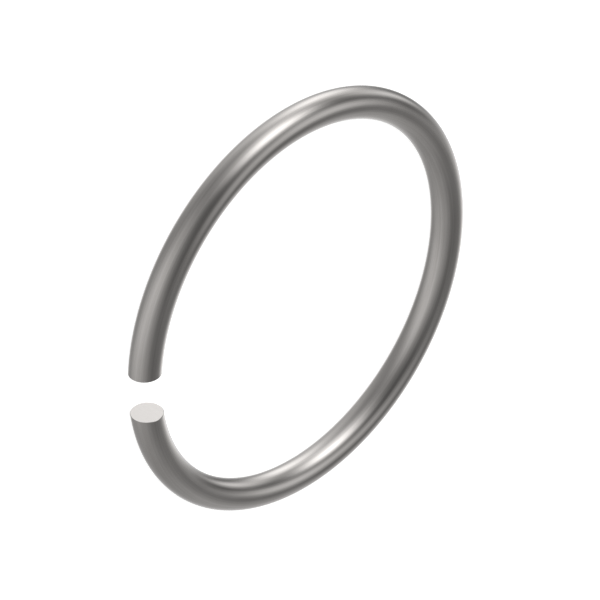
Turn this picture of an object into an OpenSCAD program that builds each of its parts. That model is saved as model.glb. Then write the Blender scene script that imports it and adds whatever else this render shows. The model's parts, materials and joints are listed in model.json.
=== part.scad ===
// Round-wire retaining ring for a shaft, in millimetres.
// One length of spring wire is bent to an open circle and snaps into a half-round groove.
// The ring lies flat: its axis is Z, the origin is its centre at mid-height, and the gap
// between its two cut ends faces -Y.

/* [Wire] */
// Diameter of the round spring wire
wire_d = 2; // [1:0.1:4]

/* [Ring] */
// Inner diameter of the ring as it lies, before it is sprung over a shaft
inner_d = 23.7; // [15:0.1:60]

/* [Gap] */
// Width of the gap, straight across from one cut end to the other
gap_w = 2.9; // [1:0.1:6]
// Width of the edge break that takes the burr off the rim of each cut end
end_break = 0.02; // [0.01:0.01:0.2]

/* [Hidden] */

// Facets of a full turn along the ring and around the wire
ring_fn = 180;
wire_fn = 64;

wire_r = wire_d / 2;
// Radius of the wire's centre line, from the ring's axis
bend_r = inner_d / 2 + wire_r;
// Distance from the ring's X axis to the centre of each cut end
end_y = sqrt(pow(bend_r, 2) - pow(gap_w / 2, 2));
// How far a cutter runs on past the metal that it cuts
overcut = wire_d / 8;

// The wire closed on itself, before the gap is cut
module closed_wire() {
    rotate_extrude($fn = ring_fn)
        translate([bend_r, 0])
            circle(r = wire_r, $fn = wire_fn);
}

// One parallel-sided cut across the wire, which shears both ends
module gap_cut() {
    reach = wire_r + overcut;
    translate([-gap_w / 2, -bend_r - reach, -reach])
        cube([gap_w, bend_r + reach, 2 * reach]);
}

// What the edge break takes from one end: a disc round the wire with a 45 degree cone left in.
// The cut face lies at z = 0, where the cone is end_break smaller than the wire all round.
module end_break_waste() {
    difference() {
        translate([0, 0, -overcut])
            cylinder(r = wire_d, h = end_break + 2 * overcut, $fn = wire_fn);
        translate([0, 0, -2 * overcut])
            cylinder(r1 = wire_r - end_break - 2 * overcut, r2 = wire_r + 2 * overcut,
                     h = end_break + 4 * overcut, $fn = wire_fn);
    }
}

// The open ring with both cut ends broken along their rims
module retaining_ring() {
    color("darkgray")
        difference() {
            closed_wire();
            gap_cut();
            for (side = [-1, 1])
                translate([side * gap_w / 2, -end_y, 0])
                    rotate([0, side * 90, 0])
                        end_break_waste();
        }
}

retaining_ring();
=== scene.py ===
import json
import math

import bpy
import numpy as np
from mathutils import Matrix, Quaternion, Vector


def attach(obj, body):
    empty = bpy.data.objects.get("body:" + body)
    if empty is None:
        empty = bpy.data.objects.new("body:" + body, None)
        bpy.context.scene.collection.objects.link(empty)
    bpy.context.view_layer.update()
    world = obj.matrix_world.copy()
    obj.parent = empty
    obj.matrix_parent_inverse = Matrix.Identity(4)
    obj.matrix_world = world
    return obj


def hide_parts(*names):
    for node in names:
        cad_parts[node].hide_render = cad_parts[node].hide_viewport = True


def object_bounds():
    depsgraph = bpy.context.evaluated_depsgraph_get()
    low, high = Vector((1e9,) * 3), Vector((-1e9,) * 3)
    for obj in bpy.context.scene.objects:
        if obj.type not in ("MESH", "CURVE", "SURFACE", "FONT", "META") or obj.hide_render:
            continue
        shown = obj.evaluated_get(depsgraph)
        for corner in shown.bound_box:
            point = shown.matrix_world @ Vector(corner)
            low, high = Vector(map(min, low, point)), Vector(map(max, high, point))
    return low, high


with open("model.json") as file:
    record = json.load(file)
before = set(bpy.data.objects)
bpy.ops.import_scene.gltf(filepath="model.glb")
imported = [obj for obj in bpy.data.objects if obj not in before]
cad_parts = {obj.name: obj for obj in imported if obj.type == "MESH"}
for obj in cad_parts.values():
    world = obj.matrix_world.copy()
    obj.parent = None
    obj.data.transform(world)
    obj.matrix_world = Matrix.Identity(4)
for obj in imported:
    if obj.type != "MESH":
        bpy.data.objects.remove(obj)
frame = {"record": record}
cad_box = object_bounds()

MM = 0.001
MICRON = 0.001 * MM

# Sizes of the ring, in metres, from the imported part's own interfaces
MOUNTS = {mount["name"]: mount for mount in frame["record"]["mounts"]}
BEND_R = MOUNTS["thrust_side"]["dims"]["r_mm"] * MM
WIRE_R = MOUNTS["thrust_side"]["pos_m"][2]
HALF_GAP = MOUNTS["cut_end_right"]["pos_m"][0]
END_Y = -math.sqrt(BEND_R**2 - HALF_GAP**2)
# How far round the ring each cut end is from -Y
END_TURN = math.asin(HALF_GAP / BEND_R)
# The 45 degree edge break of each cut end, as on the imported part
END_BREAK = 0.02 * MM
# The edge break is looked for within this angle of -Y, by this many halvings
BREAK_REACH = math.pi / 4
HALVINGS = 50

# Steps of the ring's fine mesh
STEPS_ALONG = 480
STEPS_AROUND = 96
END_RINGS = 8
# Creases sharper than this stay sharp, in degrees
SHARP = 25

# The skin's flat map: strips along the wire one above the other, and the cut ends over them
STRIPS = 3
STRIP_STEPS = STEPS_ALONG // STRIPS
STRIP_HEIGHT = 0.288
MAP_MARGIN = 0.005
END_SPOT_R = 0.052
END_SPOT_V = STRIPS * (STRIP_HEIGHT + MAP_MARGIN) + 2 * MAP_MARGIN + END_SPOT_R

# The camera looks down on the ring as the photograph does, and is rolled as it was
CAMERA_AZIMUTH = -45.61
CAMERA_ELEVATION = 35.63
CAMERA_ROLL = 119.45
CAMERA_DISTANCE = 20.58 * BEND_R
CAMERA_RISE = 0.0028 * BEND_R
CAMERA_SIDE = -0.0007 * BEND_R
CAMERA_LENS = 263.9
SENSOR_WIDTH = 36.0
NEAREST, FARTHEST = 0.01, 10.0

# Soft lights at a distance: azimuth from -Y (90 is +X), height and spread in degrees, strength
SOFT_LIGHTS = {
    "key": (-115, 30, 13, 2.0),
    "key_skirt": (-110, 15, 20, 1.7),
    "under_key": (-140, -25, 12, 1.4),
    "under_side": (-130, -40, 25, 1.2),
    "under_back": (-160, -35, 10, 0.9),
    "front_fill": (-25, 5, 25, 0.5),
    "front_low": (5, -30, 20, 0.2),
    "right_fill": (115, 20, 20, 0.4),
    "right_rim": (150, 10, 15, 0.6),
    "back_top": (-175, 60, 18, 1.0),
    "back_middle": (180, 40, 13, 0.7),
    "back_left": (-165, 0, 13, 1.2),
    "back_low": (180, -5, 8, 0.8),
    "backdrop_low": (145, -60, 16, 0.7),
    "backdrop_middle": (130, -25, 20, 0.8),
    "backdrop_high": (145, -10, 12, 0.8),
}
# The light between them: its middle strength, and how it grows along X, Y and Z
SURROUND = 0.13
SURROUND_SLOPE = (0.2, -0.5, -0.1)
# No direction is darker than this
DARKEST = 0.02
WHITE = (1, 1, 1, 1)

FLOOR_SIZE = 3.0
FLOOR_COLOUR = (0.9, 0.9, 0.9, 1)
FLOOR_ROUGHNESS = 0.9
FLOOR_GLOW = 0.75

# Marks in the steel: how wide and how long they are
DIE_LINE = (0.11 * MM, 15.0 * MM)
FINE_LINE = (0.04 * MM, 4.0 * MM)
TONE_PATCH = (0.9 * MM, 4.0 * MM)
SHEAR_LINE = (0.09 * MM, 0.9 * MM)
SHEAR_GRAIN = (0.06 * MM, 0.06 * MM)

# The darkest and the lightest tone of each steel
DRAWN_TONES = ((0.370, 0.354, 0.341), (0.448, 0.432, 0.419))
SHEARED_TONES = ((0.400, 0.385, 0.374), (0.444, 0.429, 0.418))
# The middle roughness of each steel, and how far its marks stand out
DRAWN_ROUGHNESS = 0.17
SHEARED_ROUGHNESS = 0.22
DRAWN_RELIEF = 2.0 * MICRON
SHEARED_RELIEF = 1.0 * MICRON
# The slots of the ring's mesh that hold each steel
DRAWN, SHEARED = 0, 1


def direction(azimuth, elevation):
    """The unit vector towards an azimuth from -Y (90 is +X) and a height, in degrees."""
    a, e = math.radians(azimuth), math.radians(elevation)
    return Vector((math.sin(a) * math.cos(e), -math.cos(a) * math.cos(e), math.sin(e)))


def add_object(name, data):
    """Puts new data in the scene as an object."""
    made = bpy.data.objects.new(name, data)
    bpy.context.scene.collection.objects.link(made)
    return made


def node(tree, kind, **values):
    """A new shader node. A value named after an input sets it, and any other sets a property."""
    made = tree.nodes.new("ShaderNode" + kind)
    for name, value in values.items():
        label = name.replace("_", " ")
        if label in made.inputs:
            made.inputs[label].default_value = value
        else:
            setattr(made, name, value)
    return made


def math_node(tree, operation, *terms):
    """A math node on sockets and numbers. Returns its output."""
    made = node(tree, "Math", operation=operation)
    for place, term in enumerate(terms):
        if isinstance(term, (int, float)):
            made.inputs[place].default_value = term
        else:
            tree.links.new(term, made.inputs[place])
    return made.outputs[0]


def vector_node(tree, operation, socket, vector):
    """A vector math node on a socket and a fixed vector."""
    made = node(tree, "VectorMath", operation=operation)
    tree.links.new(socket, made.inputs[0])
    made.inputs[1].default_value = vector
    return made


def weighted(tree, middle, *pairs):
    """A middle value plus each socket times its weight."""
    total = middle
    for socket, weight in pairs:
        total = math_node(tree, "ADD", math_node(tree, "MULTIPLY", socket, weight), total)
    return total


def make_camera():
    """The camera at the photograph's viewing angle."""
    data = bpy.data.cameras.new("camera")
    data.sensor_width = SENSOR_WIDTH
    data.lens = CAMERA_LENS
    data.clip_start = NEAREST
    data.clip_end = FARTHEST
    camera = add_object("camera", data)
    back = direction(CAMERA_AZIMUTH, CAMERA_ELEVATION)
    roll = Quaternion((0, 0, 1), math.radians(CAMERA_ROLL))
    camera.rotation_mode = "QUATERNION"
    camera.rotation_quaternion = (-back).to_track_quat("-Z", "Y") @ roll
    shift = camera.rotation_quaternion @ Vector((CAMERA_SIDE, CAMERA_RISE, 0))
    camera.location = back * CAMERA_DISTANCE + shift
    bpy.context.scene.camera = camera


def soft_light(tree, looking, azimuth, elevation, spread, strength):
    """A round glow that fades out evenly from its middle. Returns its light as a socket."""
    sharpness = 1 / math.radians(spread) ** 2
    along = vector_node(tree, "DOT_PRODUCT", looking, direction(azimuth, elevation))
    away = math_node(tree, "SUBTRACT", along.outputs["Value"], 1.0)
    fall = math_node(tree, "MULTIPLY", away, sharpness)
    return math_node(tree, "MULTIPLY", math_node(tree, "EXPONENT", fall), strength)


def make_studio():
    """Soft lights all round on a dim surround. The camera itself sees a plain white backdrop."""
    world = bpy.data.worlds.new("studio")
    world.use_nodes = True
    tree = world.node_tree
    tree.nodes.clear()
    looking = node(tree, "TexCoord").outputs["Generated"]
    slope = vector_node(tree, "DOT_PRODUCT", looking, SURROUND_SLOPE).outputs["Value"]
    light = math_node(tree, "ADD", slope, SURROUND)
    for place in SOFT_LIGHTS.values():
        light = math_node(tree, "ADD", light, soft_light(tree, looking, *place))
    light = math_node(tree, "MAXIMUM", light, DARKEST)
    lit = node(tree, "Background", Color=WHITE)
    tree.links.new(light, lit.inputs["Strength"])
    backdrop = node(tree, "Background", Color=WHITE, Strength=1.0)
    seen = node(tree, "MixShader")
    tree.links.new(node(tree, "LightPath").outputs["Is Camera Ray"], seen.inputs[0])
    tree.links.new(lit.outputs[0], seen.inputs[1])
    tree.links.new(backdrop.outputs[0], seen.inputs[2])
    tree.links.new(seen.outputs[0], node(tree, "OutputWorld").inputs["Surface"])
    bpy.context.scene.world = world


def new_material(name):
    """A material with a principled shader and its output. Returns material, tree and shader."""
    material = bpy.data.materials.new(name)
    material.use_nodes = True
    tree = material.node_tree
    tree.nodes.clear()
    shader = node(tree, "BsdfPrincipled")
    tree.links.new(shader.outputs[0], node(tree, "OutputMaterial").inputs["Surface"])
    return material, tree, shader


def new_steel(name):
    """A metal material. Returns also the socket that gives each point's place on the wire."""
    material, tree, shader = new_material(name)
    shader.inputs["Metallic"].default_value = 1.0
    place = node(tree, "Attribute", attribute_name="wire_place").outputs["Vector"]
    return material, tree, shader, place


def marks(tree, place, size, detail, along=0):
    """Noise drawn out into marks of a width and length, along one axis. Runs either side of 0."""
    width, length = size
    scale = [1 / width] * 3
    scale[along] = 1 / length
    scaled = vector_node(tree, "MULTIPLY", place, scale)
    noise = node(tree, "TexNoise", Scale=1.0, Detail=detail)
    tree.links.new(scaled.outputs[0], noise.inputs["Vector"])
    return math_node(tree, "SUBTRACT", noise.outputs["Fac"], 0.5)


def set_tone(tree, shader, tones, *pairs):
    """Colours the metal between two close tones, by marks and their weights."""
    mix = node(tree, "Mix", data_type="RGBA", clamp_factor=True)
    tree.links.new(weighted(tree, 0.5, *pairs), mix.inputs["Factor"])
    for name, tone in zip("AB", tones):
        mix.inputs[name].default_value = (*tone, 1)
    tree.links.new(mix.outputs["Result"], shader.inputs["Base Color"])


def set_roughness(tree, shader, middle, *pairs):
    """Varies the roughness around a middle value, by marks and their weights."""
    tree.links.new(weighted(tree, middle, *pairs), shader.inputs["Roughness"])


def set_relief(tree, shader, depth, *pairs):
    """Raises the metal by a depth in metres, by marks and their weights."""
    bump = node(tree, "Bump", Distance=depth)
    tree.links.new(weighted(tree, 0.0, *pairs), bump.inputs["Height"])
    tree.links.new(bump.outputs[0], shader.inputs["Normal"])


def drawn_steel():
    """Bright drawn spring steel: satin, with fine die lines along the wire."""
    material, tree, shader, place = new_steel("drawn_steel")
    die_lines = marks(tree, place, DIE_LINE, 3)
    fine_lines = marks(tree, place, FINE_LINE, 2)
    patches = marks(tree, place, TONE_PATCH, 3)
    set_tone(tree, shader, DRAWN_TONES, (die_lines, 1.4), (patches, 1.2))
    rough_marks = ((die_lines, 0.10), (fine_lines, 0.08), (patches, 0.08))
    set_roughness(tree, shader, DRAWN_ROUGHNESS, *rough_marks)
    set_relief(tree, shader, DRAWN_RELIEF, (die_lines, 1.0), (fine_lines, 0.3))
    return material


def sheared_steel():
    """The cut end of the wire: lines that the blade left, over a fine torn grain."""
    material, tree, shader, place = new_steel("sheared_steel")
    shear_lines = marks(tree, place, SHEAR_LINE, 3, along=2)
    grain = marks(tree, place, SHEAR_GRAIN, 2)
    set_tone(tree, shader, SHEARED_TONES, (shear_lines, 1.2), (grain, 0.8))
    set_roughness(tree, shader, SHEARED_ROUGHNESS, (shear_lines, 0.12), (grain, 0.10))
    set_relief(tree, shader, SHEARED_RELIEF, (shear_lines, 1.0), (grain, 0.4))
    return material


def floor_paint():
    """A plain pale matt floor that glows enough to look white."""
    material, tree, shader = new_material("floor_paint")
    shader.inputs["Base Color"].default_value = FLOOR_COLOUR
    shader.inputs["Roughness"].default_value = FLOOR_ROUGHNESS
    shader.inputs["Emission Color"].default_value = WHITE
    shader.inputs["Emission Strength"].default_value = FLOOR_GLOW
    return material


def on_wire(turn, around):
    """The point of the wire's skin at an angle from -Y along the ring and an angle around it."""
    reach = BEND_R + WIRE_R * math.cos(around)
    return np.array((reach * math.sin(turn), -reach * math.cos(turn), WIRE_R * math.sin(around)))


def break_start(around):
    """The angle along the ring where the wire's skin meets the edge break at the +X end."""
    low, high = 0.0, BREAK_REACH
    for _ in range(HALVINGS):
        turn = (low + high) / 2
        x, y, z = on_wire(turn, around)
        from_axis = math.hypot(y - END_Y, z)
        cone = WIRE_R - END_BREAK + (x - HALF_GAP)
        if from_axis > cone:
            low = turn
        else:
            high = turn
    return high


class Shell:
    """Points with their places on the wire, and faces with their spots on the flat map."""

    def __init__(self):
        self.points, self.places = [], []
        self.faces, self.spots, self.slots = [], [], []

    def add_row(self, points, places):
        """Adds points and returns their numbers."""
        first = len(self.points)
        self.points.extend(points)
        self.places.extend(places)
        return list(range(first, len(self.points)))

    def add_face(self, corners, spots, slot):
        """Adds a face by its corners' numbers and their spots on the flat map."""
        self.faces.append(corners)
        self.spots.extend(spots)
        self.slots.append(slot)

    def join(self, row_a, row_b, spots_a, spots_b, slot):
        """Closes the band between two rows that run round the wire."""
        for i in range(STEPS_AROUND):
            j = (i + 1) % STEPS_AROUND
            corners = (row_a[i], row_a[j], row_b[j], row_b[i])
            self.add_face(corners, (spots_a[i], spots_a[i + 1], spots_b[i + 1], spots_b[i]), slot)

    def to_mesh(self, name, materials):
        """The finished mesh, with smooth faces and sharp creases."""
        mesh = bpy.data.meshes.new(name)
        mesh.from_pydata([tuple(point) for point in self.points], [], self.faces)
        for material in materials:
            mesh.materials.append(material)
        mesh.polygons.foreach_set("material_index", self.slots)
        mesh.polygons.foreach_set("use_smooth", [True] * len(self.faces))
        mesh.set_sharp_from_angle(angle=math.radians(SHARP))
        attribute = mesh.attributes.new("wire_place", "FLOAT_VECTOR", "POINT")
        attribute.data.foreach_set("vector", np.array(self.places, np.float32).ravel())
        flat_map = mesh.uv_layers.new(name="OFBake")
        flat_map.uv.foreach_set("vector", np.array(self.spots, np.float32).ravel())
        mesh.update()
        return mesh


def strip_spots(step, strip):
    """Where a row of the skin lies on the flat map, in one of the strips."""
    u = MAP_MARGIN + (step / STRIP_STEPS - strip) * (1 - 2 * MAP_MARGIN)
    v = MAP_MARGIN + strip * (STRIP_HEIGHT + MAP_MARGIN)
    return [(u, v + STRIP_HEIGHT * i / STEPS_AROUND) for i in range(STEPS_AROUND + 1)]


def add_skin(shell):
    """The wire's skin, from one edge break round to the other. Returns its first and last row."""
    arounds = [2 * math.pi * i / STEPS_AROUND for i in range(STEPS_AROUND)]
    starts = [break_start(around) for around in arounds]
    rows = []
    for step in range(STEPS_ALONG + 1):
        share = step / STEPS_ALONG
        points, places = [], []
        for start, around in zip(starts, arounds):
            turn = start + share * 2 * (math.pi - start)
            along = (turn - math.pi) * BEND_R
            points.append(on_wire(turn, around))
            places.append((along, WIRE_R * math.cos(around), WIRE_R * math.sin(around)))
        rows.append(shell.add_row(points, places))
    for step in range(STEPS_ALONG):
        strip = step // STRIP_STEPS
        spots, next_spots = strip_spots(step, strip), strip_spots(step + 1, strip)
        shell.join(rows[step + 1], rows[step], next_spots, spots, DRAWN)
    return rows[0], rows[-1]


def add_end(shell, rim, side):
    """The edge break and the flat face of one end, in rings that shrink to its middle."""
    middle = np.array((side * HALF_GAP, END_Y, 0.0))
    along = -side * (math.pi - END_TURN) * BEND_R
    spot_u = 0.5 + side * (END_SPOT_R + MAP_MARGIN)

    def place_of(point):
        return (along, END_Y - point[1], point[2])

    def spots_of(row):
        spots = []
        for number in row + row[:1]:
            out = (shell.points[number] - middle) / WIRE_R * END_SPOT_R
            spots.append((spot_u - side * out[1], END_SPOT_V + out[2]))
        return spots

    outs = [(shell.points[number] - middle) * (0, 1, 1) for number in rim]
    outs = [out / np.linalg.norm(out) for out in outs]
    before = rim
    for ring in range(END_RINGS):
        radius = (WIRE_R - END_BREAK) * (1 - ring / END_RINGS)
        row = [middle + out * radius for out in outs]
        now = shell.add_row(row, [place_of(point) for point in row])
        slot = DRAWN if ring == 0 else SHEARED
        if side > 0:
            shell.join(before, now, spots_of(before), spots_of(now), slot)
        else:
            shell.join(now, before, spots_of(now), spots_of(before), slot)
        before = now
    centre = shell.add_row([middle], [place_of(middle)])[0]
    spots, centre_spot = spots_of(before), spots_of([centre])[0]
    for i in range(STEPS_AROUND):
        near, far = (i, i + 1) if side > 0 else (i + 1, i)
        corners = (before[near % STEPS_AROUND], before[far % STEPS_AROUND], centre)
        shell.add_face(corners, (spots[near], spots[far], centre_spot), SHEARED)


def make_ring():
    """The bent wire as a fine mesh: its skin, an edge break at each end and two flat cut ends."""
    shell = Shell()
    first, last = add_skin(shell)
    add_end(shell, first, 1)
    add_end(shell, last, -1)
    ring = add_object("snap_ring", shell.to_mesh("snap_ring", (drawn_steel(), sheared_steel())))
    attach(ring, "root")
    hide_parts("retaining_ring")
    # The photograph's ring doesn't mirror itself
    ring.visible_glossy = False


def make_floor():
    """The floor that the ring lies on. It doesn't show in the steel or shade it from below."""
    low = cad_box[0][2]
    half = FLOOR_SIZE / 2
    mesh = bpy.data.meshes.new("floor")
    corners = [(-half, -half, low), (half, -half, low), (half, half, low), (-half, half, low)]
    mesh.from_pydata(corners, [], [(0, 1, 2, 3)])
    mesh.materials.append(floor_paint())
    floor = add_object("floor", mesh)
    floor.visible_glossy = False
    floor.visible_shadow = False


make_camera()
make_studio()
make_ring()
make_floor()
bpy.context.scene.view_settings.view_transform = "Standard"
